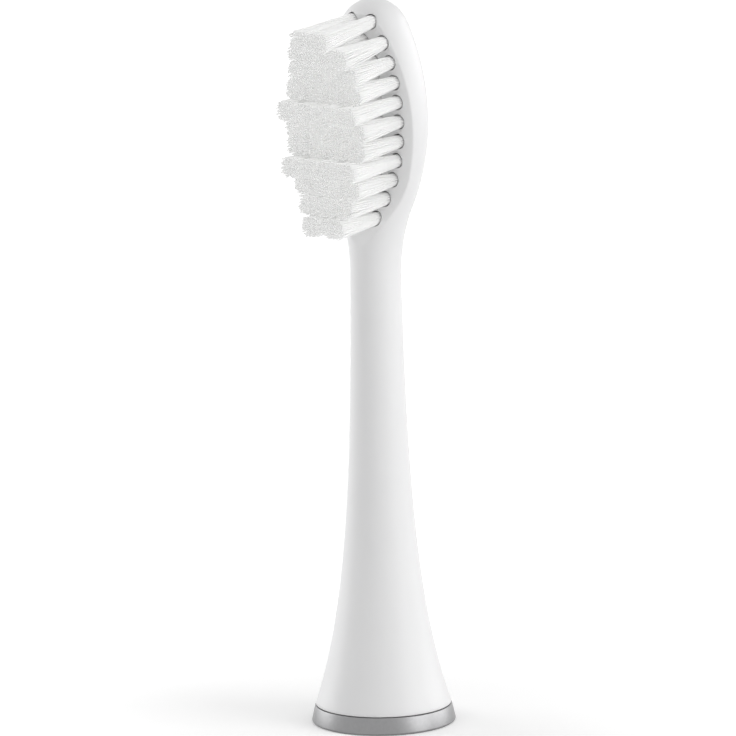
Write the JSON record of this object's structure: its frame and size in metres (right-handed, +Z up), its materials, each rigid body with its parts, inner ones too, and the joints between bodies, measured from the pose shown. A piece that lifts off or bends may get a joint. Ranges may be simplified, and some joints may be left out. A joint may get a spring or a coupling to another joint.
{
  "type": "electric toothbrush head",
  "caption": "Push-on electric toothbrush head: a flared round neck and flat-faced oval head with rows of bristle tufts, a clip-on base ring and a socket for the drive shaft.",
  "frame": {"origin": "middle of the base ring's foot, on the drive shaft's axis", "axes": "+Z up the neck along the drive shaft's axis, bristles towards -Y, +X across the head"},
  "size_m": [0.016, 0.0193, 0.0804],
  "materials": {
    "body_plastic": "satin",
    "ring_silver": "satin silver",
    "bristle_nylon": "soft",
    "socket_plastic": "smooth",
    "spring_steel": "rolled",
    "anchor_brass": "drawn"
  },
  "bodies": {
    "root": {"brush_body": "body_plastic", "base_ring": "ring_silver", "shaft_socket": "socket_plastic", "shaft_spring": "spring_steel", "tuft_anchors": "anchor_brass", "bristle_tuft_01": "bristle_nylon", "bristle_tuft_02": "bristle_nylon", "bristle_tuft_03": "bristle_nylon", "bristle_tuft_04": "bristle_nylon", "bristle_tuft_05": "bristle_nylon", "bristle_tuft_06": "bristle_nylon", "bristle_tuft_07": "bristle_nylon", "bristle_tuft_08": "bristle_nylon", "bristle_tuft_09": "bristle_nylon", "bristle_tuft_10": "bristle_nylon", "bristle_tuft_11": "bristle_nylon", "bristle_tuft_12": "bristle_nylon", "bristle_tuft_13": "bristle_nylon", "bristle_tuft_14": "bristle_nylon", "bristle_tuft_15": "bristle_nylon", "bristle_tuft_16": "bristle_nylon", "bristle_tuft_17": "bristle_nylon", "bristle_tuft_18": "bristle_nylon", "bristle_tuft_19": "bristle_nylon", "bristle_tuft_20": "bristle_nylon", "bristle_tuft_21": "bristle_nylon", "bristle_tuft_22": "bristle_nylon", "bristle_tuft_23": "bristle_nylon", "bristle_tuft_24": "bristle_nylon", "bristle_tuft_25": "bristle_nylon", "bristle_tuft_26": "bristle_nylon", "bristle_tuft_27": "bristle_nylon", "bristle_tuft_28": "bristle_nylon", "bristle_tuft_29": "bristle_nylon", "bristle_tuft_30": "bristle_nylon", "bristle_tuft_31": "bristle_nylon", "bristle_tuft_32": "bristle_nylon", "bristle_tuft_33": "bristle_nylon", "bristle_tuft_34": "bristle_nylon", "bristle_tuft_35": "bristle_nylon", "bristle_tuft_36": "bristle_nylon", "bristle_tuft_37": "bristle_nylon", "bristle_tuft_38": "bristle_nylon"}
  },
  "joints": []
}
